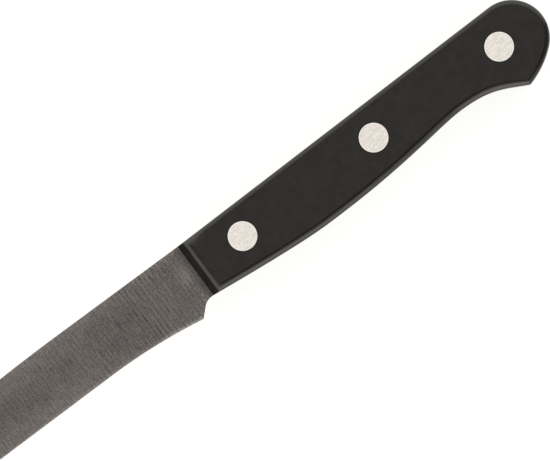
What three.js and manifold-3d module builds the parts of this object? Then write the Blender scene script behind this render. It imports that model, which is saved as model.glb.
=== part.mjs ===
// Steak knife: a stamped blade with a full tang, between two scales held by three cutler's rivets.
// Millimetres, +Z up. The knife lies on its side, as on a table: X runs from the tip to the butt,
// Y from the cutting edge to the spine and Z across the blade. The origin is under the middle of
// the knife, on the surface that it lies on. Until it is placed there, X = 0 is the front of the
// scales, Y = 0 is the line through the outer rivets and Z = 0 is the middle of the blade.

import * as THREE from "three";
import { mergeVertices } from "three/addons/utils/BufferGeometryUtils.js";
import Module from "manifold-3d";

const wasm = await Module();
wasm.setup();
const radians = THREE.MathUtils.degToRad;

// Blade outline
const BLADE_LENGTH = 115; // tip to the front of the scales
const SPINE_HEIGHT = 7.17; // spine over the rivet line, at the front of the scales
const SPINE_STRAIGHT = 36; // straight part of the spine, before it falls to the tip
const TIP_HEIGHT = 0.5; // tip over the rivet line
const TIP_EDGE_ANGLE = 33; // degrees that the edge climbs at the tip
const HEEL_SETBACK = 5.25; // heel to the front of the scales
const HEEL_DEPTH = 10.4; // heel under the rivet line
const HOLLOW_LENGTH = 24.35; // hollow curve of the edge, in front of the heel
const EDGE_DEPTH = 8.27; // edge under the rivet line, where the hollow curve ends
const EDGE_STRAIGHT = 35.4; // straight part of the edge
const EDGE_FALL = 0.5; // degrees that the straight part falls towards the tip
const CHOIL_LEAD = 0.6; // level part under the blade, next to the scales
const CHOIL_RADIUS = 3.5; // round corner from there down to the heel
const CHOIL_TURN = 45; // degrees that the round corner turns

// Blade grinding
const STOCK = 1.5; // thickness of the sheet that the blade is stamped from
const HEEL_THICKNESS = 0.46; // ground thickness at the heel
const TIP_THICKNESS = 0.5; // ground thickness at the tip
const GRIND_SETBACK = 5; // full grind to the front of the scales
const WHEEL_RADIUS = 20; // run-out of the grind towards the scales
const EDGE_THICKNESS = 0.06; // left at the cutting edge
const EDGE_ANGLE = 17; // degrees of the cutting bevel, on each side
const SPINE_EASE = 0.35; // chamfer on the corners of the spine, half of a thinner wall at most
const SPINE_EASE_ANGLE = 45;

// Handle outline
const HANDLE_LENGTH = 102.5; // front of the scales to the butt
const BACK_TILT = 1.1; // degrees that the handle's back climbs to the butt
const FRONT_DEPTH = 7.24; // underside below the rivet line, at the front
const BELLY_STATION = 31.5; // deepest point of the belly, from the front
const BELLY_DEPTH = 9.8;
const WAIST_SETBACK = 28.8; // narrowest point of the underside, from the butt
const WAIST_DEPTH = 6.86;
const BEAK_SETBACK = 12.05; // tip of the beak, from the butt
const BEAK_DEPTH = 11.72;
const BEAK_ANGLE = 26; // degrees that the underside falls to the beak
const BUTT_RADIUS = 9.1;
const BUTT_SWEEP = 49.5; // degrees below level where the round butt ends

// How far the curves of the underside keep to the line that they leave on, as parts of their span
const BELLY_FRONT_HOLD = 0.26;
const BELLY_REAR_HOLD = 0.57;
const WAIST_FRONT_HOLD = 0.165;
const WAIST_REAR_HOLD = 0.53;
const BEAK_HOLD = 0.33;

// Scales
const SCALE_THICKNESS = 5.5;
const SCALE_ROUND = 1.4; // radius along the outer edges
const FRONT_SLANT = 17; // degrees that the front leans back from the blade

// Rivets: a pin with a head, pressed into a socket with a head
const FRONT_RIVET_STATION = 13.95; // from the front of the scales
const MIDDLE_RIVET_STATION = 52.9;
const MIDDLE_RIVET_RISE = 0.32; // over the line of the other two
const REAR_RIVET_SETBACK = 12.74; // from the butt
const RIVET_HEAD_DIAMETER = 7.2;
const RIVET_HEAD_THICKNESS = 2;
const RIVET_HEAD_CHAMFER = 0.12;
const RIVET_PIN_DIAMETER = 3;
const RIVET_SOCKET_WALL = 0.75;
const RIVET_RECESS = 0.03; // heads below the face of the scales
const RIVET_FIT = 0.05; // clearance all round heads, sockets and pins
const RIVET_END_GAP = 0.3; // room beyond the ends of pins and sockets

// Facets
const CURVE_STEPS = 16;
const ROUND_STEPS = 4;
const RIVET_SIDES = 36;

// What cutting shapes take in beyond the piece that they cut
const OVERRUN = 3;

// Levels and radii that pieces share
const TANG_FACE = STOCK / 2;
const SCALE_FACE = TANG_FACE + SCALE_THICKNESS;
const HEAD_FACE = SCALE_FACE - RIVET_RECESS;
const HEAD_SEAT = HEAD_FACE - RIVET_HEAD_THICKNESS;
const HEAD_RADIUS = RIVET_HEAD_DIAMETER / 2;
const PIN_RADIUS = RIVET_PIN_DIAMETER / 2;
const BORE_RADIUS = PIN_RADIUS + RIVET_FIT;
const SOCKET_RADIUS = BORE_RADIUS + RIVET_SOCKET_WALL;

// Corners that outlines share
const FRONT_TOP = new THREE.Vector2(0, SPINE_HEIGHT);
const FRONT_BOTTOM = new THREE.Vector2(0, -FRONT_DEPTH);
const HEEL = new THREE.Vector2(-HEEL_SETBACK, -HEEL_DEPTH);
const TIP = new THREE.Vector2(-BLADE_LENGTH, TIP_HEIGHT);

const RIVETS = [
  { place: "front", x: FRONT_RIVET_STATION, y: 0 },
  { place: "middle", x: MIDDLE_RIVET_STATION, y: MIDDLE_RIVET_RISE },
  { place: "rear", x: HANDLE_LENGTH - REAR_RIVET_SETBACK, y: 0 },
];

const STEEL = { color: 0x6e6864, roughness: 0.38, metalness: 1 };
const PLASTIC = { color: 0x2f2e2c, roughness: 0.55, metalness: 0 };
const ALUMINIUM = { color: 0xe1dcd4, roughness: 0.42, metalness: 1 };

// Geometry to solids and back

function welded(geometry) {
  const bare = geometry.clone();
  bare.deleteAttribute("normal");
  bare.deleteAttribute("uv");
  return mergeVertices(bare);
}

function solidOf(geometry) {
  const { attributes, index } = welded(geometry);
  return new wasm.Manifold(
    new wasm.Mesh({
      numProp: 3,
      vertProperties: attributes.position.array,
      triVerts: new Uint32Array(index.array),
    }),
  );
}

function geometryOf(solid) {
  const { vertProperties, triVerts } = solid.getMesh();
  const geometry = new THREE.BufferGeometry();
  geometry.setAttribute("position", new THREE.BufferAttribute(vertProperties, 3));
  geometry.setIndex(new THREE.BufferAttribute(triVerts, 1));
  geometry.computeVertexNormals();
  return geometry;
}

// The same shape on the other side of the blade.
function mirrored(geometry) {
  const copy = welded(geometry).scale(1, 1, -1);
  const corners = copy.index.array;
  for (let i = 0; i < corners.length; i += 3) {
    const first = corners[i];
    corners[i] = corners[i + 1];
    corners[i + 1] = first;
  }
  copy.computeVertexNormals();
  return copy;
}

// A shape turned about a rivet's axis, from the radius and the level of each corner.
function turned(corners, { x, y }) {
  const profile = corners.map(([radius, level]) => new THREE.Vector2(radius, level));
  return new THREE.LatheGeometry(profile, RIVET_SIDES).rotateX(Math.PI / 2).translate(x, y, 0);
}

// Outlines

// Under the blade, from the scales to the heel: a level lead, a round corner and a slope.
function traceChoil(path) {
  path.lineTo(-CHOIL_LEAD, -FRONT_DEPTH);
  const centre = -FRONT_DEPTH - CHOIL_RADIUS;
  const end = Math.PI / 2 + radians(CHOIL_TURN);
  path.absarc(-CHOIL_LEAD, centre, CHOIL_RADIUS, Math.PI / 2, end, false);
  path.lineTo(HEEL.x, HEEL.y);
}

// The cutting edge, from the heel to the tip: a hollow curve, a straight and the belly.
function traceEdge(path) {
  const hollowEnd = HEEL.x - HOLLOW_LENGTH;
  path.quadraticCurveTo((HEEL.x + hollowEnd) / 2, -EDGE_DEPTH, hollowEnd, -EDGE_DEPTH);

  const fall = Math.tan(radians(EDGE_FALL));
  const start = new THREE.Vector2(hollowEnd - EDGE_STRAIGHT, -EDGE_DEPTH - EDGE_STRAIGHT * fall);
  path.lineTo(start.x, start.y);

  const hold = (start.x - TIP.x) / 2;
  const tipHold = hold / 2;
  const tipY = TIP.y - tipHold * Math.tan(radians(TIP_EDGE_ANGLE));
  path.bezierCurveTo(start.x - hold, start.y - hold * fall, TIP.x + tipHold, tipY, TIP.x, TIP.y);
}

// The spine, from the tip back to the scales: a long rise and a straight.
function traceSpine(path) {
  path.quadraticCurveTo((TIP.x - SPINE_STRAIGHT) / 2, SPINE_HEIGHT, -SPINE_STRAIGHT, SPINE_HEIGHT);
  path.lineTo(FRONT_TOP.x, FRONT_TOP.y);
}

// The handle, from the top of its front to the bottom: back, butt, beak, waist and belly.
function traceHandle(path) {
  const tilt = radians(BACK_TILT);
  const sweep = radians(BUTT_SWEEP);
  const buttX = HANDLE_LENGTH - BUTT_RADIUS;
  const buttY = SPINE_HEIGHT + buttX * Math.tan(tilt) - BUTT_RADIUS / Math.cos(tilt);
  path.absarc(buttX, buttY, BUTT_RADIUS, Math.PI / 2 + tilt, -sweep, true);

  const buttEnd = path.currentPoint.clone();
  const beak = new THREE.Vector2(HANDLE_LENGTH - BEAK_SETBACK, -BEAK_DEPTH);
  const hold = buttEnd.distanceTo(beak) / 2;
  const bend = new THREE.Vector2(-Math.sin(sweep), -Math.cos(sweep)).multiplyScalar(hold).add(buttEnd);
  path.quadraticCurveTo(bend.x, bend.y, beak.x, beak.y);

  const waist = new THREE.Vector2(HANDLE_LENGTH - WAIST_SETBACK, -WAIST_DEPTH);
  const rearSpan = beak.x - waist.x;
  const beakHold = rearSpan * BEAK_HOLD;
  const beakRise = beakHold * Math.tan(radians(BEAK_ANGLE));
  const waistRear = waist.x + rearSpan * WAIST_REAR_HOLD;
  path.bezierCurveTo(beak.x - beakHold, beak.y + beakRise, waistRear, waist.y, waist.x, waist.y);

  const gripSpan = waist.x - BELLY_STATION;
  const waistFront = waist.x - gripSpan * WAIST_FRONT_HOLD;
  const bellyRear = BELLY_STATION + gripSpan * BELLY_REAR_HOLD;
  path.bezierCurveTo(waistFront, waist.y, bellyRear, -BELLY_DEPTH, BELLY_STATION, -BELLY_DEPTH);

  const bellyFront = BELLY_STATION * (1 - BELLY_FRONT_HOLD);
  path.quadraticCurveTo(bellyFront, -BELLY_DEPTH, FRONT_BOTTOM.x, FRONT_BOTTOM.y);
}

// The points of one stretch of the outline.
function pointsOf(trace, start) {
  const path = new THREE.Path();
  path.moveTo(start.x, start.y);
  trace(path);
  return path.getPoints(CURVE_STEPS);
}

// Blade

// The ground face: a plane through the spine at full thickness, the tip and the heel.
const GRIND_TOP = new THREE.Vector3(-GRIND_SETBACK, SPINE_HEIGHT, TANG_FACE);
const GRIND = new THREE.Plane().setFromCoplanarPoints(
  GRIND_TOP,
  new THREE.Vector3(TIP.x, TIP.y, TIP_THICKNESS / 2),
  new THREE.Vector3(HEEL.x, HEEL.y, HEEL_THICKNESS / 2),
);

// Half of the thickness that the grinding leaves at a point of the outline.
function groundHalf({ x, y }) {
  const { normal, constant } = GRIND;
  return Math.min(TANG_FACE, -(normal.x * x + normal.y * y + constant) / normal.z);
}

// What the grinding wheel takes off: all over the plane, and running out towards the scales.
function grindCut() {
  const length = BLADE_LENGTH + OVERRUN;
  const width = 2 * (SPINE_HEIGHT + HEEL_DEPTH + OVERRUN);
  const runOut = Math.acos(1 - STOCK / WHEEL_RADIUS);
  const profile = new THREE.Shape();
  profile.moveTo(-length, STOCK);
  profile.lineTo(-length, 0);
  profile.absarc(0, WHEEL_RADIUS, WHEEL_RADIUS, -Math.PI / 2, runOut - Math.PI / 2, false);
  const options = { depth: width, bevelEnabled: false, curveSegments: ROUND_STEPS };
  const cut = new THREE.ExtrudeGeometry(profile, options).translate(0, 0, -width / 2);

  const across = new THREE.Vector3(1, 0, 0).cross(GRIND.normal).normalize();
  const along = new THREE.Vector3().crossVectors(GRIND.normal, across);
  const place = new THREE.Matrix4().makeBasis(along, GRIND.normal, across).setPosition(GRIND_TOP);
  return cut.applyMatrix4(place);
}

// What a stone takes off along a stretch of the outline that has the steel on its left. It leaves
// halfAt(point) over the middle of the blade at the outline, and more further in.
function bevelCut(points, angle, halfAt) {
  const slope = Math.tan(radians(angle));
  const reach = STOCK / slope;
  const ahead = (from, to) => to.clone().sub(from).setLength(OVERRUN).add(to);
  const route = [ahead(points[1], points[0]), ...points, ahead(points.at(-2), points.at(-1))];

  const corners = [];
  route.forEach((point, i) => {
    const before = route[Math.max(i - 1, 0)];
    const after = route[Math.min(i + 1, route.length - 1)];
    const inward = new THREE.Vector2(before.y - after.y, after.x - before.x).normalize();
    const outer = point.clone().addScaledVector(inward, -OVERRUN);
    const inner = point.clone().addScaledVector(inward, reach);
    const half = halfAt(point);
    const top = half + STOCK + OVERRUN;
    corners.push(outer.x, outer.y, half - OVERRUN * slope);
    corners.push(inner.x, inner.y, half + STOCK);
    corners.push(inner.x, inner.y, top);
    corners.push(outer.x, outer.y, top);
  });

  const faces = [];
  const quad = (a, b, c, d) => faces.push(a, b, c, a, c, d);
  const last = corners.length / 3 - 4;
  quad(3, 2, 1, 0);
  for (let i = 0; i < last; i += 4) {
    for (let k = 0; k < 4; k++) {
      const next = (k + 1) % 4;
      quad(i + k, i + next, i + 4 + next, i + 4 + k);
    }
  }
  quad(last, last + 1, last + 2, last + 3);
  const cut = new THREE.BufferGeometry();
  cut.setAttribute("position", new THREE.Float32BufferAttribute(corners, 3));
  cut.setIndex(faces);
  return cut;
}

// Blade and tang in one: stamped with its rivet holes, taper ground, eased and sharpened.
function blade() {
  const outline = new THREE.Shape();
  outline.moveTo(FRONT_BOTTOM.x, FRONT_BOTTOM.y);
  traceChoil(outline);
  traceEdge(outline);
  traceSpine(outline);
  traceHandle(outline);
  const options = { depth: STOCK, bevelEnabled: false, curveSegments: CURVE_STEPS };
  let steel = solidOf(new THREE.ExtrudeGeometry(outline, options).translate(0, 0, -TANG_FACE));

  const holeRadius = SOCKET_RADIUS + RIVET_FIT;
  const hole = [
    [0, -STOCK],
    [holeRadius, -STOCK],
    [holeRadius, STOCK],
    [0, STOCK],
  ];
  for (const rivet of RIVETS) {
    steel = steel.subtract(solidOf(turned(hole, rivet)));
  }

  // The easing of the spine stops at the scales.
  const spine = pointsOf(traceSpine, TIP).reverse();
  spine[0].x -= OVERRUN;
  const edge = pointsOf(traceEdge, HEEL).reverse();
  const eased = (point) => groundHalf(point) - Math.min(SPINE_EASE, groundHalf(point) / 2);
  const cuts = [
    grindCut(),
    bevelCut(spine, SPINE_EASE_ANGLE, eased),
    bevelCut(edge, EDGE_ANGLE, () => EDGE_THICKNESS / 2),
  ];
  for (const cut of cuts) {
    steel = steel.subtract(solidOf(cut)).subtract(solidOf(mirrored(cut)));
  }
  return geometryOf(steel);
}

// Scales

// What is cut off the front of a scale: it leans back, with a round shoulder to the outer face.
function frontCut() {
  const slant = radians(FRONT_SLANT);
  const shoulder = SCALE_THICKNESS * Math.tan(slant) + SCALE_ROUND * Math.tan((Math.PI / 2 - slant) / 2);
  const width = 2 * (SPINE_HEIGHT + FRONT_DEPTH + OVERRUN);
  const profile = new THREE.Shape();
  profile.moveTo(-OVERRUN, TANG_FACE);
  profile.lineTo(0, TANG_FACE);
  profile.absarc(shoulder, SCALE_FACE - SCALE_ROUND, SCALE_ROUND, Math.PI - slant, Math.PI / 2, true);
  profile.lineTo(shoulder, SCALE_FACE + OVERRUN);
  profile.lineTo(-OVERRUN, SCALE_FACE + OVERRUN);
  const options = { depth: width, bevelEnabled: false, curveSegments: ROUND_STEPS };
  return new THREE.ExtrudeGeometry(profile, options).translate(0, 0, -width / 2).rotateX(Math.PI / 2);
}

// The left scale: the handle's outline with round outer edges, over the tang, with stepped holes.
function leftScale() {
  const outline = new THREE.Shape();
  outline.moveTo(FRONT_BOTTOM.x, FRONT_BOTTOM.y);
  outline.lineTo(FRONT_TOP.x, FRONT_TOP.y);
  traceHandle(outline);
  const straight = SCALE_FACE - SCALE_ROUND;
  const options = {
    depth: 2 * straight,
    bevelThickness: SCALE_ROUND,
    bevelSize: SCALE_ROUND,
    bevelOffset: -SCALE_ROUND,
    bevelSegments: ROUND_STEPS,
    curveSegments: CURVE_STEPS,
  };
  const handle = new THREE.ExtrudeGeometry(outline, options).translate(0, 0, -straight);

  const reach = 2 * (HANDLE_LENGTH + OVERRUN);
  const overTang = new THREE.BoxGeometry(reach, reach, reach).translate(0, 0, TANG_FACE + reach / 2);
  let plastic = solidOf(handle).intersect(solidOf(overTang)).subtract(solidOf(frontCut()));

  const shankHole = SOCKET_RADIUS + RIVET_FIT;
  const headHole = HEAD_RADIUS + RIVET_FIT;
  const hole = [
    [0, 0],
    [shankHole, 0],
    [shankHole, HEAD_SEAT],
    [headHole, HEAD_SEAT],
    [headHole, SCALE_FACE + OVERRUN],
    [0, SCALE_FACE + OVERRUN],
  ];
  for (const rivet of RIVETS) {
    plastic = plastic.subtract(solidOf(turned(hole, rivet)));
  }
  return geometryOf(plastic);
}

// Rivets

// The half with the pin, whose head is in the left scale.
function rivetPin(rivet) {
  const corners = [
    [0, RIVET_END_GAP - HEAD_SEAT],
    [PIN_RADIUS, RIVET_END_GAP - HEAD_SEAT],
    [PIN_RADIUS, HEAD_SEAT],
    [HEAD_RADIUS, HEAD_SEAT],
    [HEAD_RADIUS, HEAD_FACE - RIVET_HEAD_CHAMFER],
    [HEAD_RADIUS - RIVET_HEAD_CHAMFER, HEAD_FACE],
    [0, HEAD_FACE],
  ];
  return turned(corners, rivet);
}

// The half with the socket, whose head is in the right scale.
function rivetSocket(rivet) {
  const corners = [
    [0, -HEAD_FACE],
    [HEAD_RADIUS - RIVET_HEAD_CHAMFER, -HEAD_FACE],
    [HEAD_RADIUS, RIVET_HEAD_CHAMFER - HEAD_FACE],
    [HEAD_RADIUS, -HEAD_SEAT],
    [SOCKET_RADIUS, -HEAD_SEAT],
    [SOCKET_RADIUS, HEAD_SEAT - RIVET_END_GAP],
    [BORE_RADIUS, HEAD_SEAT - RIVET_END_GAP],
    [BORE_RADIUS, -HEAD_SEAT],
    [0, -HEAD_SEAT],
  ];
  return turned(corners, rivet);
}

// Assembly

const knife = new THREE.Group();

function addPiece(name, geometry, finish) {
  const piece = new THREE.Mesh(geometry, new THREE.MeshStandardMaterial(finish));
  piece.name = name;
  knife.add(piece);
}

const scale = leftScale();
addPiece("blade_and_tang", blade(), STEEL);
addPiece("left_scale", scale, PLASTIC);
addPiece("right_scale", mirrored(scale), PLASTIC);
for (const rivet of RIVETS) {
  addPiece(`${rivet.place}_rivet_pin`, rivetPin(rivet), ALUMINIUM);
  addPiece(`${rivet.place}_rivet_socket`, rivetSocket(rivet), ALUMINIUM);
}

// The origin comes under the middle of the knife.
const box = new THREE.Box3().setFromObject(knife);
const middle = box.getCenter(new THREE.Vector3());
knife.position.set(-middle.x, -middle.y, -box.min.z);

const placed = new THREE.Group();
placed.add(knife);

export default placed;
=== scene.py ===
"""Steak knife: fine meshes, finishes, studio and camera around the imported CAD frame.

Sizes are in millimetres and in knife coordinates: x from the front of the scales towards the butt,
y from the rivet line towards the spine and z from the middle of the blade towards its left side.
"""

import math

import bmesh
import bpy
import numpy as np
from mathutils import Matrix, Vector


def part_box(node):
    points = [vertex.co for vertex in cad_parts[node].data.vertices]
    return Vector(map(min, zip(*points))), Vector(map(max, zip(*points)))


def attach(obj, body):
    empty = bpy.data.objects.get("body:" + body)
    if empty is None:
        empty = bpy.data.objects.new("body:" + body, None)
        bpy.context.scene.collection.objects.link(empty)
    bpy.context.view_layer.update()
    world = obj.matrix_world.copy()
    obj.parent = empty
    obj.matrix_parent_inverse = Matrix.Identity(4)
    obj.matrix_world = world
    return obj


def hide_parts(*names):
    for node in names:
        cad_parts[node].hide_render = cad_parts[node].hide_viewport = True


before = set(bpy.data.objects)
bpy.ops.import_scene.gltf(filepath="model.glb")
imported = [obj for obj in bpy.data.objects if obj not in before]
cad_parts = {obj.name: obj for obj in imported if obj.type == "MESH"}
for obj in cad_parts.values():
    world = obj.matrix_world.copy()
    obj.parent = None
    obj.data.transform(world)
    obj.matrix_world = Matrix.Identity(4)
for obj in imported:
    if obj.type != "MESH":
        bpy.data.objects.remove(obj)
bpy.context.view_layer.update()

# Sizes that the frame gives
MM = 0.001
BLADE_LOW, BLADE_HIGH = (Vector(corner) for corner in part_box("blade_and_tang"))
SCALE_LOW, SCALE_HIGH = (Vector(corner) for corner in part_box("left_scale"))
PIN_LOW, PIN_HIGH = (Vector(corner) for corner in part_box("front_rivet_pin"))
PLACES = ("front", "middle", "rear")

ORIGIN = Vector((SCALE_LOW.x, (PIN_LOW.y + PIN_HIGH.y) / 2, (BLADE_LOW.z + BLADE_HIGH.z) / 2))
BLADE_LENGTH = (SCALE_LOW.x - BLADE_LOW.x) / MM
HANDLE_LENGTH = (SCALE_HIGH.x - SCALE_LOW.x) / MM
TANG_FACE = (BLADE_HIGH.z - ORIGIN.z) / MM
SCALE_FACE = (SCALE_HIGH.z - ORIGIN.z) / MM
HEAD_RADIUS = (PIN_HIGH.x - PIN_LOW.x) / 2 / MM
HEAD_FACE = (PIN_HIGH.z - ORIGIN.z) / MM

# Blade outline
SPINE_HEIGHT = 7.17
SPINE_STRAIGHT = 36.0
TIP = np.array((-BLADE_LENGTH, 0.5))
TIP_EDGE_ANGLE = math.radians(33)
HEEL = np.array((-5.25, -10.4))
HOLLOW_LENGTH = 24.35
EDGE_DEPTH = 8.27
EDGE_STRAIGHT = 35.4
EDGE_FALL = math.radians(0.5)
CHOIL_LEAD = 0.6
CHOIL_RADIUS = 3.5
CHOIL_TURN = math.radians(45)

# Blade grinding, where EDGE_CURVE bends the edge's bevel and EDGE_SHARE is the most that it may take
# The bevel gets steeper from HEEL_EDGE_END to the heel
HEEL_THICKNESS = 0.46
TIP_THICKNESS = 0.5
GRIND_SETBACK = 5.0
WHEEL_RADIUS = 20.0
EDGE_THICKNESS = 0.06
EDGE_ANGLE = math.radians(15)
HEEL_EDGE_ANGLE = math.radians(23)
HEEL_EDGE_END = -21.0
EDGE_CURVE = 2.2
EDGE_SHARE = 0.6
SPINE_EASE = 1.8
SPINE_DROP = 0.14
TANG_EASE = 0.04
RUN_OUT_BLEND = 0.03
HEEL_STEP = 0.03

# Handle outline, where each hold is a share of its stretch that the curve's handle takes
BACK_TILT = math.radians(1.1)
FRONT_DEPTH = 7.24
BELLY = np.array((31.5, -9.8))
WAIST = np.array((HANDLE_LENGTH - 28.8, -6.86))
BEAK = np.array((HANDLE_LENGTH - 12.05, -11.72))
BEAK_ANGLE = math.radians(26)
BUTT_RADIUS = 9.1
BUTT_SWEEP = math.radians(49.5)
BELLY_FRONT_HOLD = 0.26
BELLY_REAR_HOLD = 0.57
WAIST_FRONT_HOLD = 0.165
WAIST_REAR_HOLD = 0.53
BEAK_HOLD = 0.33

# Scales and rivets, with a wider round edge along the underside and at the front of the back
SCALE_ROUND = 1.4
UNDER_WIDER = 0.37
UNDER_FADE = 4.0
BACK_WIDER = 0.6
BACK_WEAR = 7.0
BACK_FADE = 2.5
FRONT_SLANT = math.radians(17)
FRONT_ROUND = 1.8
SHANK_RADIUS = 2.3
PIN_RADIUS = 1.5
HEAD_THICKNESS = 2.0
HEAD_ROUND = 0.1
HEAD_PLAY = 0.06
HEAD_RIM = 0.4
HOLE_GAP = 0.12
HOLE_ROUND = 0.06
SHANK_GAP = 0.05
END_GAP = 0.3

# Fineness of the meshes
CURVE_POINTS = 64
ROUND_POINTS = 12
SPINE_POINTS = 10
FACE_POINTS = 12
EDGE_POINTS = 8
HEAD_RIM_POINTS = 7
HOLE_RIM_POINTS = 6
RIVET_SIDES = 96
TIP_STATIONS = 110
TIP_START = 0.02
TIP_CROWDING = 1.6
EDGE_STATIONS = 110
CHOIL_STATIONS = 40
GRIP_STATIONS = 120
BUTT_STATIONS = 60
BUTT_STOP = 0.499 * math.pi
SCALE_CREASE = math.radians(28)
RIVET_CREASE = math.radians(40)
OVERRUN = 2.0
SHAVE = 0.01
MERGE = 0.0005
SAME_POINT = 1e-6
FOLDED = 0.9999
UV_TILE = 10.0


# Curves and outlines

def steps(count=CURVE_POINTS):
    return np.linspace(0, 1, count)[:, None]


def quadratic(a, b, c):
    a, b, c = map(np.array, (a, b, c))
    t = steps()
    return (1 - t) ** 2 * a + 2 * (1 - t) * t * b + t ** 2 * c


def cubic(a, b, c, d):
    a, b, c, d = map(np.array, (a, b, c, d))
    t = steps()
    return (1 - t) ** 3 * a + 3 * (1 - t) ** 2 * t * b + 3 * (1 - t) * t ** 2 * c + t ** 3 * d


def arc(centre, radius, start, stop, count=CURVE_POINTS):
    turn = np.linspace(start, stop, count)
    return np.array(centre) + radius * np.stack((np.cos(turn), np.sin(turn)), axis=1)


def joined(*stretches):
    """The stretches as one line of points, without the points that they share."""
    points = np.concatenate([np.atleast_2d(stretch) for stretch in stretches])
    keep = np.ones(len(points), bool)
    keep[1:] = np.linalg.norm(np.diff(points, axis=0), axis=1) > SAME_POINT
    return points[keep]


def edge_line():
    """The cutting edge from the heel to the tip."""
    hollow_end = np.array((HEEL[0] - HOLLOW_LENGTH, -EDGE_DEPTH))
    hollow = quadratic(HEEL, ((HEEL[0] + hollow_end[0]) / 2, -EDGE_DEPTH), hollow_end)
    fall = math.tan(EDGE_FALL)
    start = hollow_end - EDGE_STRAIGHT * np.array((1, fall))
    hold = (start[0] - TIP[0]) / 2
    climb = math.tan(TIP_EDGE_ANGLE)
    belly = cubic(start, start - hold * np.array((1, fall)), TIP + hold / 2 * np.array((1, -climb)), TIP)
    return joined(hollow, belly)


def choil_line():
    """Under the blade from the front of the scales to the heel."""
    corner = (-CHOIL_LEAD, -FRONT_DEPTH - CHOIL_RADIUS)
    hollow = arc(corner, CHOIL_RADIUS, math.pi / 2, math.pi / 2 + CHOIL_TURN)
    return joined((0, -FRONT_DEPTH), hollow, HEEL)


def spine_line():
    """The spine from the tip to the front of the scales."""
    middle = ((TIP[0] - SPINE_STRAIGHT) / 2, SPINE_HEIGHT)
    return joined(quadratic(TIP, middle, (-SPINE_STRAIGHT, SPINE_HEIGHT)), (0, SPINE_HEIGHT))


def butt_line():
    """The back of the handle from the front, and its round end down to where the beak begins."""
    x = HANDLE_LENGTH - BUTT_RADIUS
    y = SPINE_HEIGHT + x * math.tan(BACK_TILT) - BUTT_RADIUS / math.cos(BACK_TILT)
    return joined((0, SPINE_HEIGHT), arc((x, y), BUTT_RADIUS, math.pi / 2 + BACK_TILT, -BUTT_SWEEP))


def underside_line():
    """The underside of the handle, from the end of the round butt over beak, waist and belly."""
    leave = butt_line()[-1]
    hold = np.linalg.norm(BEAK - leave) / 2
    bend = leave - hold * np.array((math.sin(BUTT_SWEEP), math.cos(BUTT_SWEEP)))
    rear = BEAK[0] - WAIST[0]
    beak_bend = BEAK + rear * BEAK_HOLD * np.array((-1, math.tan(BEAK_ANGLE)))
    grip = WAIST[0] - BELLY[0]
    level = np.array((1, 0))
    waist_bends = WAIST + rear * WAIST_REAR_HOLD * level, WAIST - grip * WAIST_FRONT_HOLD * level
    belly_bends = BELLY + grip * BELLY_REAR_HOLD * level, (BELLY[0] * (1 - BELLY_FRONT_HOLD), BELLY[1])
    return joined(
        quadratic(leave, bend, BEAK),
        cubic(BEAK, beak_bend, waist_bends[0], WAIST),
        cubic(WAIST, waist_bends[1], belly_bends[0], BELLY),
        quadratic(BELLY, belly_bends[1], (0, -FRONT_DEPTH)),
    )


def handle_outline():
    """The closed outline of the handle, clockwise seen from the left side and overlong in front."""
    back = butt_line()
    worn = back[0] + (back[1] - back[0]) * steps(ROUND_POINTS) * BACK_WEAR / back[1][0]
    under = underside_line()
    lead = under[-1] - under[-2]
    front = under[-1] + lead * OVERRUN / -lead[0]
    return joined((-OVERRUN, SPINE_HEIGHT), worn, back[1:], under, front)


# The top and bottom of the whole steel piece, as heights over x
BUTT_END = int(np.argmax(butt_line()[:, 0]))
TOP_LINE = joined(spine_line(), butt_line()[: BUTT_END + 1])
BOTTOM_LINE = joined(
    edge_line()[::-1],
    choil_line()[::-1],
    underside_line()[::-1],
    butt_line()[BUTT_END:][::-1],
)


def top_at(x):
    return float(np.interp(x, TOP_LINE[:, 0], TOP_LINE[:, 1]))


def bottom_at(x):
    return float(np.interp(x, BOTTOM_LINE[:, 0], BOTTOM_LINE[:, 1]))


# Meshes

def to_frame(point):
    return ORIGIN + Vector(point) * MM


def piece_from(bm, name):
    """A smooth object from a bmesh in knife coordinates, with its sharp edges kept."""
    for vert in bm.verts:
        vert.co = to_frame(vert.co)
    bmesh.ops.recalc_face_normals(bm, faces=bm.faces)
    for face in bm.faces:
        face.smooth = True
    mesh = bpy.data.meshes.new(name)
    bm.to_mesh(mesh)
    bm.free()
    piece = bpy.data.objects.new(name, mesh)
    bpy.context.scene.collection.objects.link(piece)
    return piece


def keep_flats(piece):
    """Flat faces shade flat and round ones round."""
    piece.modifiers.new("flats", "WEIGHTED_NORMAL").keep_sharp = True


def skin(bm, rings):
    """Quads between closed rings of vertices, which all have as many."""
    count = len(rings[0])
    for here, there in zip(rings, rings[1:]):
        for i in range(count):
            j = (i + 1) % count
            bm.faces.new((here[i], here[j], there[j], there[i]))


def ring_of(bm, points):
    return [bm.verts.new(point) for point in points]


def turned(profile, sides=RIVET_SIDES):
    """A bmesh turned about z from a profile of (radius, level) that starts and ends on the axis."""
    bm = bmesh.new()
    turns = [2 * math.pi * i / sides for i in range(sides)]
    rings = []
    for radius, level in profile[1:-1]:
        rings.append(ring_of(bm, [(radius * math.cos(t), radius * math.sin(t), level) for t in turns]))
    skin(bm, rings)
    for (_, level), ring in ((profile[0], rings[0]), (profile[-1], rings[-1])):
        pole = bm.verts.new((0, 0, level))
        for i in range(sides):
            bm.faces.new((ring[i], ring[(i + 1) % sides], pole))
    return bm


def mark_sharp(bm, angle):
    for edge in bm.edges:
        if len(edge.link_faces) == 2:
            edge.smooth = edge.calc_face_angle(0) < angle


# Blade

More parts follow.
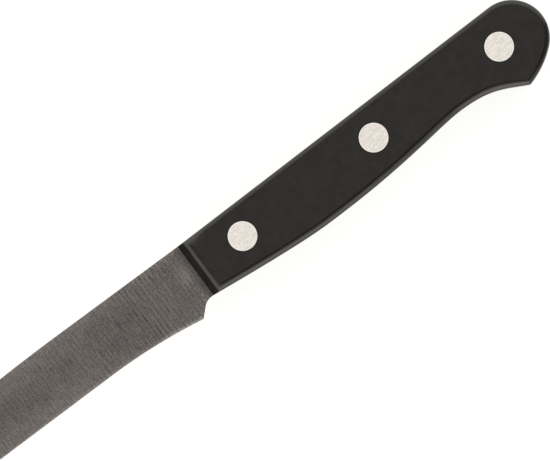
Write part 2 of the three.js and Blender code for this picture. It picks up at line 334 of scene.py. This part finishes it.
GRIND_TOP = np.array((-GRIND_SETBACK, SPINE_HEIGHT, TANG_FACE))
GRIND_NORMAL = np.cross(
    np.array((*HEEL, HEEL_THICKNESS / 2)) - np.array((*TIP, TIP_THICKNESS / 2)),
    GRIND_TOP - np.array((*TIP, TIP_THICKNESS / 2)),
)
GRIND_NORMAL /= np.linalg.norm(GRIND_NORMAL)


def half_at(x, y):
    """Half of the steel's thickness: the tang's, or less where the wheel has ground the blade."""
    reach = np.array((x, y)) - GRIND_TOP[:2]
    ground = TANG_FACE - float(reach @ GRIND_NORMAL[:2]) / GRIND_NORMAL[2]
    run = min(max(x + GRIND_SETBACK, 0), WHEEL_RADIUS)
    ground += WHEEL_RADIUS - math.sqrt(WHEEL_RADIUS ** 2 - run ** 2)
    near = max(RUN_OUT_BLEND - abs(ground - TANG_FACE), 0)
    return min(TANG_FACE, ground) - near ** 2 / (4 * RUN_OUT_BLEND)


def blade_section(x, sharpened):
    """One cross-section as (y, z), over the spine to the left face, round the edge and back."""
    top, bottom = top_at(x), bottom_at(x)
    height = top - bottom
    ease, dip = (SPINE_EASE, SPINE_DROP) if x < 0 else (TANG_EASE, TANG_EASE)
    ease = min(ease, height / 4)
    dip = min(dip, half_at(x, top) / 2)
    left = []
    for share in np.linspace(1, 0, SPINE_POINTS):
        y = top - ease * (1 - share)
        left.append((y, half_at(x, y) - dip * share ** 2))
    if sharpened:
        drop = half_at(x, bottom) - EDGE_THICKNESS / 2
        angle = np.interp(x, (HEEL_EDGE_END, HEEL[0]), (EDGE_ANGLE, HEEL_EDGE_ANGLE))
        width = min(drop * EDGE_CURVE / math.tan(angle), EDGE_SHARE * height)
    else:
        drop = width = min(TANG_EASE, height / 4)
    shoulder = bottom + width
    for share in np.linspace(0, 1, FACE_POINTS)[1:]:
        y = top - ease + share * (shoulder - top + ease)
        left.append((y, half_at(x, y)))
    for share in np.linspace(0, 1, EDGE_POINTS)[1:]:
        y = shoulder - share * width
        left.append((y, half_at(x, y) - drop * share ** EDGE_CURVE))
    return left + [(y, -z) for y, z in reversed(left)]


def blade_stations():
    """(x, sharpened) along the knife, close together where the outline turns."""
    tip_end = HEEL[0] - HOLLOW_LENGTH - EDGE_STRAIGHT
    near_tip = TIP[0] + (tip_end - TIP[0]) * np.linspace(TIP_START, 1, TIP_STATIONS) ** TIP_CROWDING
    sharp = np.concatenate((near_tip, np.linspace(tip_end, HEEL[0], EDGE_STATIONS)[1:]))
    choil = np.linspace(HEEL[0] + HEEL_STEP, 0, CHOIL_STATIONS)
    grip = np.linspace(0, BEAK[0], GRIP_STATIONS)[1:]
    butt = BEAK[0] + (HANDLE_LENGTH - BEAK[0]) * np.sin(np.linspace(0, BUTT_STOP, BUTT_STATIONS))[1:]
    blunt = np.concatenate((choil, grip, butt))
    return [(x, True) for x in sharp] + [(x, False) for x in blunt]


def make_blade():
    """Blade and tang as one skin of cross-sections, with the grinding's corners kept sharp."""
    bm = bmesh.new()
    rings = []
    for x, sharpened in blade_stations():
        rings.append(ring_of(bm, [(x, y, z) for y, z in blade_section(x, sharpened)]))
    skin(bm, rings)
    bm.faces.new(rings[0])
    bm.faces.new(rings[-1])
    last = SPINE_POINTS + FACE_POINTS + EDGE_POINTS - 3
    for here, there in zip(rings, rings[1:]):
        for k in (0, last, last + 1, len(here) - 1):
            bm.edges.get((here[k], there[k])).smooth = False
    bmesh.ops.remove_doubles(bm, verts=bm.verts, dist=MERGE)
    blade = piece_from(bm, "blade_steel")
    keep_flats(blade)
    add_lengthwise_uv(blade)
    return blade


def add_lengthwise_uv(piece):
    """A UV map whose U runs along the knife, which gives the finish its direction."""
    layer = piece.data.uv_layers.new(name="lengthwise")
    for loop in piece.data.loops:
        co = piece.data.vertices[loop.vertex_index].co
        layer.data[loop.index].uv = (co.x / MM / UV_TILE, co.y / MM / UV_TILE)


# Scales

def inset(points, distance):
    """A closed clockwise outline with each point moved inwards by its distance, and mitred corners."""
    before = points - np.roll(points, 1, axis=0)
    after = np.roll(points, -1, axis=0) - points
    normals = []
    for step in (before, after):
        step = step / np.linalg.norm(step, axis=1)[:, None]
        normals.append(np.stack((step[:, 1], -step[:, 0]), axis=1))
    mitre = normals[0] + normals[1]
    mitre /= (mitre * normals[0]).sum(axis=1)[:, None]
    return without_folds(points, points + distance[:, None] * mitre, distance)


def without_folds(outline, moved, distance):
    """The moved points, where those that a tight corner folds over all go to the fold's crossing."""
    sides = np.roll(outline, -1, axis=0) - outline
    reach = moved[:, None] - outline[None]
    share = np.clip((reach * sides).sum(axis=2) / (sides ** 2).sum(axis=1), 0, 1)
    gaps = np.linalg.norm(reach - share[:, :, None] * sides, axis=2).min(axis=1)
    folded = gaps < FOLDED * distance
    result = moved.copy()
    count = len(moved)
    for i in np.flatnonzero(folded):
        back = next(k for k in range(1, count) if not folded[i - k])
        ahead = next(k for k in range(1, count) if not folded[(i + k) % count])
        result[i] = (moved[i - back] + moved[(i + ahead) % count]) / 2
    return result


def cut(piece, tools):
    """The piece's mesh without the tools' shapes, which are used up."""
    for tool in tools:
        modifier = piece.modifiers.new("cut", "BOOLEAN")
        modifier.object = tool
        modifier.solver = "EXACT"
    depsgraph = bpy.context.evaluated_depsgraph_get()
    mesh = bpy.data.meshes.new_from_object(piece.evaluated_get(depsgraph))
    piece.modifiers.clear()
    piece.data = mesh
    for tool in tools:
        bpy.data.objects.remove(tool)


def front_tool():
    """What leaves the front of the scale leaning back, with a round shoulder."""
    lean = math.tan(FRONT_SLANT)
    shoulder = (SCALE_FACE - TANG_FACE) * lean + FRONT_ROUND * math.tan((math.pi / 2 - FRONT_SLANT) / 2)
    centre = (shoulder, SCALE_FACE - FRONT_ROUND)
    shaved = arc(centre, FRONT_ROUND, math.pi - FRONT_SLANT, math.pi / 2 + SHAVE, ROUND_POINTS)
    profile = joined(
        (-OVERRUN * lean + SHAVE, TANG_FACE - OVERRUN),
        shaved,
        (shaved[-1][0], SCALE_FACE + OVERRUN),
        (-2 * OVERRUN, SCALE_FACE + OVERRUN),
        (-2 * OVERRUN, TANG_FACE - OVERRUN),
    )
    bm = bmesh.new()
    ends = [ring_of(bm, [(x, y, z) for x, z in profile]) for y in (-4 * FRONT_DEPTH, 4 * FRONT_DEPTH)]
    skin(bm, ends)
    for end in ends:
        bm.faces.new(end)
    return piece_from(bm, "front_tool")


def hole_tool(place):
    """The stepped hole of a rivet, with a rounded rim."""
    seat = HEAD_FACE - HEAD_THICKNESS
    radius = HEAD_RADIUS + HOLE_GAP
    centre = (radius + HOLE_ROUND, SCALE_FACE - HOLE_ROUND)
    rim = arc(centre, HOLE_ROUND, math.pi, math.pi / 2, HOLE_RIM_POINTS)
    shank = SHANK_RADIUS + SHANK_GAP
    bm = turned([
        (0, TANG_FACE - OVERRUN),
        (shank, TANG_FACE - OVERRUN),
        (shank, seat),
        (radius, seat),
        *map(tuple, rim),
        (radius + HOLE_ROUND, SCALE_FACE + OVERRUN),
        (0, SCALE_FACE + OVERRUN),
    ])
    bmesh.ops.translate(bm, verts=bm.verts, vec=rivet_place(place))
    return piece_from(bm, "hole_tool")


def rivet_place(place):
    low, high = (Vector(corner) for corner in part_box(f"{place}_rivet_pin"))
    middle = ((low + high) / 2 - ORIGIN) / MM
    return Vector((middle.x, middle.y, 0))


def edge_widths(outline):
    """The width of the round edge at each point, as a share of the plain one."""
    x, y = outline.T
    under = np.clip((BEAK[0] - x) / UNDER_FADE, 0, 1) * (y < 0)
    back = np.clip((BACK_WEAR - x) / BACK_FADE, 0, 1) * (y > 0)
    return 1 + UNDER_WIDER * under + BACK_WIDER * back


def make_scale(name, side):
    """One scale: the handle's outline drawn in over a round edge, cut for its front and rivets."""
    outline = handle_outline()
    levels = [(0, TANG_FACE), (0, SCALE_FACE - SCALE_ROUND)]
    for turn in np.linspace(0, math.pi / 2, ROUND_POINTS)[1:]:
        distance = SCALE_ROUND * (1 - math.cos(turn))
        levels.append((distance, SCALE_FACE + SCALE_ROUND * (math.sin(turn) - 1)))
    bm = bmesh.new()
    rings = []
    widths = edge_widths(outline)
    for distance, level in levels:
        rings.append(ring_of(bm, [(x, y, level) for x, y in inset(outline, distance * widths)]))
    skin(bm, rings)
    bm.faces.new(rings[0])
    bm.faces.new(rings[-1])
    bmesh.ops.remove_doubles(bm, verts=bm.verts, dist=MERGE)
    scale = piece_from(bm, name)
    cut(scale, [front_tool()] + [hole_tool(place) for place in PLACES])

    bm = bmesh.new()
    bm.from_mesh(scale.data)
    if side < 0:
        for vert in bm.verts:
            vert.co.z = 2 * ORIGIN.z - vert.co.z
    bmesh.ops.recalc_face_normals(bm, faces=bm.faces)
    mark_sharp(bm, SCALE_CREASE)
    for face in bm.faces:
        face.smooth = True
    bm.to_mesh(scale.data)
    bm.free()
    keep_flats(scale)
    add_lengthwise_uv(scale)
    return scale


# Rivets

def make_rivet(name, place, profile, side):
    bm = turned([(radius, side * level) for radius, level in profile])
    bmesh.ops.translate(bm, verts=bm.verts, vec=rivet_place(place))
    bmesh.ops.recalc_face_normals(bm, faces=bm.faces)
    mark_sharp(bm, RIVET_CREASE)
    axis = rivet_place(place).xy
    outer = HEAD_RADIUS - HEAD_RIM / 2
    # The outer ring of each head is marked for the painted highlight on its rim
    rim_highlight = [float((vert.co.xy - axis).length > outer) for vert in bm.verts]
    rivet = piece_from(bm, name)
    rivet.data.attributes.new("rim", "FLOAT", "POINT").data.foreach_set("value", rim_highlight)
    keep_flats(rivet)
    add_lengthwise_uv(rivet)
    return rivet


def head_profile():
    """From the underside of a head, over its rounded rim, to the middle of its face."""
    radius = HEAD_RADIUS - HEAD_PLAY
    centre = (radius - HEAD_ROUND, HEAD_FACE - HEAD_ROUND)
    rim = arc(centre, HEAD_ROUND, 0, math.pi / 2, HEAD_RIM_POINTS)
    face = [(radius - HEAD_RIM, HEAD_FACE), (0, HEAD_FACE)]
    return [(radius, HEAD_FACE - HEAD_THICKNESS), *map(tuple, rim), *face]


def make_pin(place):
    seat = HEAD_FACE - HEAD_THICKNESS
    shank = [(0, END_GAP - seat), (PIN_RADIUS, END_GAP - seat), (PIN_RADIUS, seat)]
    return make_rivet(f"{place}_pin_head", place, shank + head_profile(), 1)


def make_socket(place):
    seat = HEAD_FACE - HEAD_THICKNESS
    bore = PIN_RADIUS + SHANK_GAP
    end = END_GAP - seat
    tube = [(0, seat), (bore, seat), (bore, end), (SHANK_RADIUS, end), (SHANK_RADIUS, seat)]
    return make_rivet(f"{place}_socket_head", place, tube + head_profile(), -1)


# Finishes

# Features to a metre along x, y and z
FINE_LINES = (4600, 300, 300)
LINE_DRIFT = (70, 6, 6)
LINE_BREAKS = (260, 170, 170)
SPECKS = (3000, 2400, 2400)
CLOUDS = (200, 200, 200)
PLASTIC_GRAIN = (4200, 4200, 4200)
PLASTIC_MOTTLE = (420, 420, 420)
SANDING = (700, 3800, 3800)
RIVET_MOTTLE = (3000, 3000, 3000)

# Colours, each from darkest to lightest, and the plastic's where it is worn, which also serves as a
# painted highlight
STEEL = ((0.137, 0.129, 0.129), (0.382, 0.362, 0.362))
PLASTIC = ((0.0042, 0.0042, 0.0042), (0.0114, 0.0114, 0.0114))
PLASTIC_WEAR_AND_HIGHLIGHT = (0.037, 0.037, 0.037)
RIVET = ((0.73, 0.715, 0.70), (0.97, 0.96, 0.95))

# Roughness, from low to high, and by how much the mottle changes the plastic's
STEEL_ROUGH = (0.34, 0.48)
PLASTIC_ROUGH = (0.2, 0.46)
PLASTIC_ROUGH_CHANGE = (-0.03, 0.03)
RIVET_ROUGH = (0.46, 0.58)

# Relief, in metres
LINE_DEPTH = 0.000004
GRAIN_DEPTH = 0.000006
GRAIN_STRENGTH = 0.6
SANDING_DEPTH = 0.000005

# Grinding lines: pitch, most that they wander in radians, strength, sharpness and the fine lines' share
LINE_PITCH = 1.12
LINE_WANDER = 8
LINE_STRENGTH = 0.09
LINE_BITE = 0.6
FINE_SHARE = 0.45

# The even lines are weaker further forward: their share of the strength there, and where it changes
FAR_LINES = 0.45
FAR_LINES_REACH = (-21, -16)

# Steel in front of the scales: where specks take over from the lines, and where painted shade, standing
# for the scales' shadow, darkens it
SPECK_SHARE = 0.85
LINE_SHARES = (0.6, 0.35)
LINE_SHARE_REACH = (-7, -1)
PAINTED_SHADE = (1, 0.5)
PAINTED_SHADE_REACH = (-2, 0)

# A pale spot on the steel by the scales: place, strength and its inner and outer radius
PALE_SPOT_PLACE = (-2.6, 0.6, TANG_FACE)
PALE_SPOT_STRENGTH = 0.09
PALE_SPOT_RADII = (0.6, 3.2)

# Further forward the blade is darker along a middle line and paler beside it
MIDDLE_LINE = -0.5
MIDDLE_TONES = (-0.02, 0.035)
MIDDLE_REACH = (2, 6)
FORWARD_REACH = (-45, -15)

# A darker stretch below the spine: change of tone, rear and front ends, and heights where it fades
SHADE_TONE = -0.028
SHADE_REAR = (-17, -12)
SHADE_FRONT = (-33, -20)
SHADE_HEIGHTS = (3.0, 5.0)

# The scales' worn corner at the front of the back, paler from wear and a painted highlight: strength,
# where it ends and the heights it fades over
CORNER_WEAR_AND_HIGHLIGHT = 0.7
CORNER_REACH = (5.0, 7.5)
CORNER_HEIGHTS = (4.7, 5.8)

# Tones that become all dark and all light, the grain's share in them, and the tones of a rivet's face
STEEL_CONTRAST = (0.39, 0.61)
FINE_CONTRAST = (0.4, 0.6)
PLASTIC_GRAIN_SHARE = 0.7
SANDING_SHARE = 0.5
RIVET_TONES = (0.1, 0.9)

# Directions of the plastic's surface, as x, y or z of its normal
SHOULDER_FROM = (-0.9, -0.68)
SHOULDER_TO = (-0.45, -0.05)
SHOULDER_WEAR_AND_HIGHLIGHT = (0.6, 1)
FLAT_FROM = (0.993, 1.0)
FRONT_TO = (-0.95, -0.7)
FRONT_SHINE = (0.04, 0.5)
DULL_BAND = -0.2
DULL_BAND_REACH = (0.03, 0.12)
DULL_BAND_SHINE = (0.45, 1)


class Finish:
    """A material with a Principled shader, and short ways to add the nodes before it."""

    def __init__(self, name, **values):
        self.material = bpy.data.materials.new(name)
        self.material.use_nodes = True
        self.tree = self.material.node_tree
        self.shader = self.tree.nodes["Principled BSDF"]
        for socket, value in values.items():
            self.shader.inputs[socket].default_value = value
        self.place = self.node("ShaderNodeTexCoord").outputs["Object"]

    def node(self, kind, **settings):
        made = self.tree.nodes.new(kind)
        for key, value in settings.items():
            setattr(made, key, value)
        return made

    def link(self, source, target):
        self.tree.links.new(source, target)

    def split(self, vector):
        """The X, Y and Z of a vector."""
        made = self.node("ShaderNodeSeparateXYZ")
        self.link(vector, made.inputs["Vector"])
        return made.outputs

    def noise(self, per_metre, detail=3.0, rough=0.55):
        """Noise from 0 to 1 with that many features to a metre along x, y and z."""
        mapping = self.node("ShaderNodeMapping")
        mapping.inputs["Scale"].default_value = per_metre
        self.link(self.place, mapping.inputs["Vector"])
        noise = self.node("ShaderNodeTexNoise")
        noise.inputs["Scale"].default_value = 1
        noise.inputs["Detail"].default_value = detail
        noise.inputs["Roughness"].default_value = rough
        self.link(mapping.outputs["Vector"], noise.inputs["Vector"])
        return noise.outputs["Fac"]

    def spread(self, value, low, high, start=0.3, stop=0.7):
        """value from start to stop becomes low to high, and no further."""
        made = self.node("ShaderNodeMapRange")
        sockets = ("From Min", "From Max", "To Min", "To Max")
        for socket, number in zip(sockets, (start, stop, low, high)):
            made.inputs[socket].default_value = number
        self.link(value, made.inputs["Value"])
        return made.outputs["Result"]

    def spread_along(self, x, low, high, reach):
        """low to high between two places along the knife, in knife coordinates."""
        return self.spread(x, low, high, *(to_frame((place, 0, 0)).x for place in reach))

    def math(self, operation, *values):
        made = self.node("ShaderNodeMath", operation=operation)
        for socket, value in zip(made.inputs, values):
            if isinstance(value, (int, float)):
                socket.default_value = value
            else:
                self.link(value, socket)
        return made.outputs["Value"]

    def shares(self, first, share, second):
        """That share of the first value and the rest of the second."""
        rest = 1 - share if isinstance(share, float) else self.math("SUBTRACT", 1, share)
        return self.math("ADD", self.math("MULTIPLY", first, share), self.math("MULTIPLY", second, rest))

    def blend(self, share, dark, light):
        """A colour between two colours, each of them given or made by other nodes."""
        made = self.node("ShaderNodeMix", data_type="RGBA")
        for socket, colour in ((made.inputs[6], dark), (made.inputs[7], light)):
            if isinstance(colour, tuple):
                socket.default_value = (*colour, 1)
            else:
                self.link(colour, socket)
        self.link(share, made.inputs[0])
        return made.outputs[2]

    def bump(self, height, depth, strength=1.0):
        """Bump of that depth in metres."""
        made = self.node("ShaderNodeBump")
        made.inputs["Strength"].default_value = strength
        made.inputs["Distance"].default_value = depth
        self.link(height, made.inputs["Height"])
        self.link(made.outputs["Normal"], self.shader.inputs["Normal"])

    def lengthwise(self):
        """The shine spreads along the knife, across the lines that grinding left."""
        tangent = self.node("ShaderNodeTangent", direction_type="UV_MAP", uv_map="lengthwise")
        self.link(tangent.outputs["Tangent"], self.shader.inputs["Tangent"])

    def set(self, socket, value):
        self.link(value, self.shader.inputs[socket])


def grinding_lines(steel, x):
    """Lines across the blade: fine ones, and ones at an even pitch that wander and break off."""
    fine = steel.noise(FINE_LINES, detail=2)
    drift = steel.spread(steel.noise(LINE_DRIFT, detail=4), 0, LINE_WANDER)
    broken = steel.spread(steel.noise(LINE_BREAKS, detail=2), 0, LINE_STRENGTH)
    strength = steel.math("MULTIPLY", broken, steel.spread_along(x, FAR_LINES, 1, FAR_LINES_REACH))
    phase = steel.math("ADD", steel.math("MULTIPLY", x, 2 * math.pi / LINE_PITCH / MM), drift)
    bite = steel.math("MULTIPLY", steel.math("SINE", steel.math("MULTIPLY", phase, 2)), LINE_BITE)
    wave = steel.math("ADD", steel.math("COSINE", phase), bite)
    even = steel.math("MULTIPLY_ADD", fine, FINE_SHARE, (1 - FINE_SHARE) / 2)
    return steel.math("ADD", even, steel.math("MULTIPLY", wave, strength))


def blade_finish():
    """Satin stainless steel with fine broken grinding lines from the spine to the edge."""
    steel = Finish("satin_steel", Metallic=1.0, Anisotropic=0.6)
    place = steel.split(steel.place)
    lines = grinding_lines(steel, place["X"])
    marks = steel.shares(steel.noise(SPECKS, detail=2), SPECK_SHARE, steel.noise(CLOUDS, detail=5))
    line_share = steel.spread_along(place["X"], *LINE_SHARES, LINE_SHARE_REACH)
    tone = steel.shares(lines, line_share, marks)

    # A paler spot on the steel by the scales
    spot = steel.node("ShaderNodeVectorMath", operation="DISTANCE")
    steel.link(steel.place, spot.inputs[0])
    spot.inputs[1].default_value = to_frame(PALE_SPOT_PLACE)
    pale_spot = steel.spread(spot.outputs["Value"], PALE_SPOT_STRENGTH, 0, *(radius * MM for radius in PALE_SPOT_RADII))
    middle = to_frame((0, MIDDLE_LINE, 0)).y
    aside = steel.math("ABSOLUTE", steel.math("SUBTRACT", place["Y"], middle))
    beside = steel.spread(aside, *MIDDLE_TONES, *(reach * MM for reach in MIDDLE_REACH))
    forward = steel.spread_along(place["X"], 1, 0, FORWARD_REACH)
    behind = steel.spread_along(place["X"], SHADE_TONE, 0, SHADE_REAR)
    before = steel.spread_along(place["X"], 0, 1, SHADE_FRONT)
    below = steel.spread(place["Y"], 1, 0, *(to_frame((0, height, 0)).y for height in SHADE_HEIGHTS))
    shaded = steel.math("MULTIPLY", steel.math("MULTIPLY", behind, before), below)
    change = steel.math("ADD", pale_spot, steel.math("MULTIPLY_ADD", beside, forward, shaded))

    shade = steel.spread(steel.math("ADD", tone, change), 0, 1, *STEEL_CONTRAST)
    # Painted shade: the steel is darker next to the scales, where they shadow it
    painted_shade = steel.spread_along(place["X"], *PAINTED_SHADE, PAINTED_SHADE_REACH)
    steel.set("Base Color", steel.blend(steel.math("MULTIPLY", shade, painted_shade), *STEEL))
    steel.set("Roughness", steel.spread(lines, *STEEL_ROUGH))
    steel.bump(lines, LINE_DEPTH)
    steel.lengthwise()
    return steel.material


def scale_finish():
    """Matt black plastic, smoother on its round edges, and paler at the front shoulder and corner from
    wear and a painted highlight.
    """
    plastic = Finish("black_plastic", Metallic=0.0, IOR=1.48)
    grain = plastic.noise(PLASTIC_GRAIN, detail=2)
    mottle = plastic.noise(PLASTIC_MOTTLE, detail=4)
    facing = plastic.split(plastic.node("ShaderNodeNewGeometry").outputs["Normal"])
    place = plastic.split(plastic.place)

    tone = plastic.shares(grain, PLASTIC_GRAIN_SHARE, mottle)
    black = plastic.blend(plastic.spread(tone, 0, 1, *FINE_CONTRAST), *PLASTIC)
    # Wear and a painted highlight: the front shoulder and the corner at the front of the back get a
    # paler colour
    rise = plastic.spread(facing["X"], 0, 1, *SHOULDER_FROM)
    fade = plastic.spread(facing["X"], 1, 0, *SHOULDER_TO)
    wear_and_highlight = plastic.spread(mottle, *SHOULDER_WEAR_AND_HIGHLIGHT)
    along = plastic.spread_along(place["X"], CORNER_WEAR_AND_HIGHLIGHT, 0, CORNER_REACH)
    above = plastic.spread(place["Y"], 0, 1, *(to_frame((0, height, 0)).y for height in CORNER_HEIGHTS))
    patch = plastic.math("MAXIMUM", fade, plastic.math("MULTIPLY", along, above))
    worn = plastic.math("MULTIPLY", plastic.math("MULTIPLY", patch, rise), wear_and_highlight)
    plastic.set("Base Color", plastic.blend(worn, black, PLASTIC_WEAR_AND_HIGHLIGHT))

    flat = plastic.math("ABSOLUTE", facing["Z"])
    matt = plastic.spread(flat, *PLASTIC_ROUGH, *FLAT_FROM)
    change = plastic.spread(mottle, *PLASTIC_ROUGH_CHANGE)
    plastic.set("Roughness", plastic.math("ADD", matt, change))

    shine = plastic.spread(facing["X"], *FRONT_SHINE, *FRONT_TO)
    off_band = plastic.math("ABSOLUTE", plastic.math("SUBTRACT", facing["Y"], DULL_BAND))
    dull = plastic.spread(off_band, *DULL_BAND_SHINE, *DULL_BAND_REACH)
    plastic.set("Specular IOR Level", plastic.math("MULTIPLY", shine, dull))
    plastic.bump(grain, GRAIN_DEPTH, GRAIN_STRENGTH)
    return plastic.material


def rivet_finish():
    """Pale metal, sanded level with the scales, with a fine grain and a painted highlight that makes the
    rim brighter.
    """
    metal = Finish("sanded_metal", Metallic=0.35, Anisotropic=0.2)
    grain = metal.noise(SANDING, detail=3)
    tone = metal.shares(grain, SANDING_SHARE, metal.noise(RIVET_MOTTLE, detail=2))
    # Painted highlight: the rim of each head takes the lightest rivet colour
    rim = metal.node("ShaderNodeAttribute", attribute_name="rim").outputs["Fac"]
    pale = metal.math("MAXIMUM", metal.spread(tone, *RIVET_TONES, *FINE_CONTRAST), rim)
    metal.set("Base Color", metal.blend(pale, *RIVET))
    metal.set("Roughness", metal.spread(tone, *RIVET_ROUGH))
    metal.bump(grain, SANDING_DEPTH)
    metal.lengthwise()
    return metal.material


# The knife

def dress(piece, node, material):
    piece.data.materials.clear()
    piece.data.materials.append(material)
    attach(piece, "root")
    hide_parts(node)


dress(make_blade(), "blade_and_tang", blade_finish())
SCALE_MATERIAL = scale_finish()
dress(make_scale("left_grip", 1), "left_scale", SCALE_MATERIAL)
dress(make_scale("right_grip", -1), "right_scale", SCALE_MATERIAL)
RIVET_MATERIAL = rivet_finish()
for rivet in PLACES:
    dress(make_pin(rivet), f"{rivet}_rivet_pin", RIVET_MATERIAL)
    dress(make_socket(rivet), f"{rivet}_rivet_socket", RIVET_MATERIAL)


# Studio

FLOOR_SIZE = 8.0
FLOOR_SHADE = 0.3
FLOOR_GLOW = 0.82
WARM = (1.0, 0.955, 0.88)
LAMP_SIZE = 0.9
LAMPS = (
    ("spine_side", (-0.9, 1.1, 0.8), 6.0),
    ("edge_side", (-0.3, -1.3, 0.6), 3.0),
)

# Shares of the sky's brightness from the edge's side (-1), over the knife, to the spine's side (1)
# The lean also turns these sides towards tip and butt, so that the light follows the picture's upright
SKY_LEVEL = 1.72
SKY_LEAN = 0.75
SKY = (
    (-1.0, 1.0),
    (-0.72, 0.8),
    (-0.48, 0.4),
    (-0.32, 0.06),
    (-0.14, 0.14),
    (0.0, 0.31),
    (0.18, 0.23),
    (0.34, 0.17),
    (0.5, 0.52),
    (0.75, 0.8),
    (1.0, 1.0),
)


def make_floor():
    """A white floor. What sees it directly or in a reflection also sees some glow, as of a lit table."""
    bpy.ops.mesh.primitive_plane_add(size=FLOOR_SIZE)
    floor = bpy.context.object
    floor.name = "floor"
    material = bpy.data.materials.new("white_floor")
    material.use_nodes = True
    tree = material.node_tree
    tree.nodes.clear()
    diffuse = tree.nodes.new("ShaderNodeBsdfDiffuse")
    diffuse.inputs["Color"].default_value = (FLOOR_SHADE, FLOOR_SHADE, FLOOR_SHADE, 1)
    glow = tree.nodes.new("ShaderNodeEmission")
    path = tree.nodes.new("ShaderNodeLightPath")
    seen = path.outputs["Is Camera Ray"]
    for ray in ("Is Glossy Ray", "Is Transmission Ray"):
        either = tree.nodes.new("ShaderNodeMath")
        either.operation = "MAXIMUM"
        tree.links.new(seen, either.inputs[0])
        tree.links.new(path.outputs[ray], either.inputs[1])
        seen = either.outputs[0]
    amount = tree.nodes.new("ShaderNodeMath")
    amount.operation = "MULTIPLY"
    amount.inputs[1].default_value = FLOOR_GLOW
    tree.links.new(seen, amount.inputs[0])
    tree.links.new(amount.outputs[0], glow.inputs["Strength"])
    both = tree.nodes.new("ShaderNodeAddShader")
    tree.links.new(diffuse.outputs[0], both.inputs[0])
    tree.links.new(glow.outputs[0], both.inputs[1])
    output = tree.nodes.new("ShaderNodeOutputMaterial")
    tree.links.new(both.outputs[0], output.inputs["Surface"])
    floor.data.materials.append(material)


def make_sky():
    """Soft light from both sides of the knife, with a dimmer strip above it from end to end."""
    world = bpy.data.worlds.new("studio")
    bpy.context.scene.world = world
    world.use_nodes = True
    tree = world.node_tree
    background = tree.nodes["Background"]
    background.inputs["Strength"].default_value = SKY_LEVEL
    direction = tree.nodes.new("ShaderNodeTexCoord").outputs["Generated"]
    split = tree.nodes.new("ShaderNodeSeparateXYZ")
    tree.links.new(direction, split.inputs[0])
    lean = tree.nodes.new("ShaderNodeMath")
    lean.operation = "MULTIPLY_ADD"
    lean.inputs[1].default_value = SKY_LEAN
    tree.links.new(split.outputs["X"], lean.inputs[0])
    tree.links.new(split.outputs["Y"], lean.inputs[2])
    across = tree.nodes.new("ShaderNodeMapRange")
    across.inputs["From Min"].default_value = -1
    tree.links.new(lean.outputs[0], across.inputs["Value"])
    ramp = tree.nodes.new("ShaderNodeValToRGB")
    ramp.color_ramp.interpolation = "B_SPLINE"
    stops = ramp.color_ramp.elements
    for _ in SKY[2:]:
        stops.new(0.5)
    for stop, (side, level) in zip(stops, SKY):
        stop.position = (1 + side) / 2
        stop.color = (*(level * part for part in WARM), 1)
    tree.links.new(across.outputs["Result"], ramp.inputs["Fac"])
    tree.links.new(ramp.outputs["Color"], background.inputs["Color"])


def make_lamp(name, place, power):
    """A square soft lamp that points at the knife."""
    data = bpy.data.lights.new(name, "AREA")
    data.size = LAMP_SIZE
    data.energy = power
    data.color = WARM
    lamp = bpy.data.objects.new(name, data)
    lamp.location = place
    lamp.rotation_euler = (-Vector(place)).to_track_quat("-Z", "Y").to_euler()
    bpy.context.scene.collection.objects.link(lamp)


# The photograph's view: square onto the left side of the knife, which points to the lower left
PHOTO_WIDTH = 550
PHOTO_SCALE = 4.2
PHOTO_MIDDLE = (20.94, -3.52)
PHOTO_TURN = math.radians(36.43)
CAMERA_HEIGHT = 3.0
SENSOR = 36.0


def make_camera():
    data = bpy.data.cameras.new("camera")
    data.sensor_width = SENSOR
    camera = bpy.data.objects.new("camera", data)
    target = to_frame((*PHOTO_MIDDLE, TANG_FACE))
    camera.location = (target.x, target.y, CAMERA_HEIGHT)
    camera.rotation_euler = (0, 0, -PHOTO_TURN)
    width = PHOTO_WIDTH / PHOTO_SCALE * MM
    data.lens = SENSOR * (CAMERA_HEIGHT - target.z) / width
    bpy.context.scene.collection.objects.link(camera)
    bpy.context.scene.camera = camera


make_floor()
make_sky()
for lamp_name, lamp_place, lamp_power in LAMPS:
    make_lamp(lamp_name, lamp_place, lamp_power)
make_camera()
bpy.context.scene.view_settings.view_transform = "Standard"
